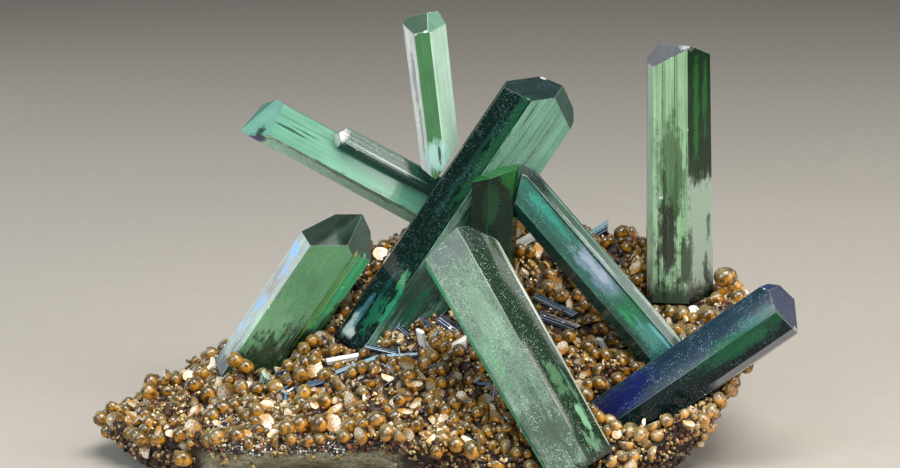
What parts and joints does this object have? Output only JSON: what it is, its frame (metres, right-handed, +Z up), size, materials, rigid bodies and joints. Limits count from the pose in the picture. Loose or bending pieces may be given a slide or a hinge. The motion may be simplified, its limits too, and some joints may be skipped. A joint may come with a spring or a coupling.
{
  "type": "vivianite crystal specimen",
  "caption": "Loose mineral specimen: long blue-green vivianite crystals grown on a rusty rock crusted with small amber spherules, resting on its flat underside.",
  "frame": {"origin": "centre of the specimen's box on the surface that it stands on", "axes": "+X to the right along the specimen's length, +Y to its back, +Z up"},
  "size_m": [0.1216, 0.0666, 0.0777],
  "materials": {
    "rusty_rock": "rough, dark brown, with grains",
    "amber_spherules": "glossy, translucent amber",
    "deep_green_crystal": "glassy, very dark green",
    "green_crystal": "glassy, mid green, partly frosted",
    "pale_green_crystal": "frosted pale green",
    "teal_crystal": "glassy teal with fine striations",
    "indigo_crystal": "glassy indigo to emerald",
    "blue_blade": "glassy blue",
    "indigo_blade": "glassy dark blue",
    "white_blade": "silky white"
  },
  "bodies": {
    "root": {"matrix": "rusty_rock", "great_crystal": "deep_green_crystal", "shoulder_crystal": "deep_green_crystal", "stout_crystal": "green_crystal", "tower_crystal": "green_crystal", "crossed_pair": "green_crystal", "spire_crystal": "pale_green_crystal", "frosted_crystal": "pale_green_crystal", "teal_crystal": "teal_crystal", "indigo_crystal": "indigo_crystal", "white_blade": "white_blade", "white_rod": "white_blade", "short_rod": "white_blade", "cream_wedge": "white_blade", "pale_crystal": "white_blade", "blue_blade": "blue_blade", "thin_blade": "blue_blade", "level_blade": "blue_blade", "sky_blade": "blue_blade", "rosy_crystal": "blue_blade", "slate_plate": "indigo_blade", "dark_blade": "indigo_blade", "fibrous_sheaf": "indigo_blade", "indigo_blade": "indigo_blade", "green_prism": "pale_green_crystal"}
  },
  "joints": []
}
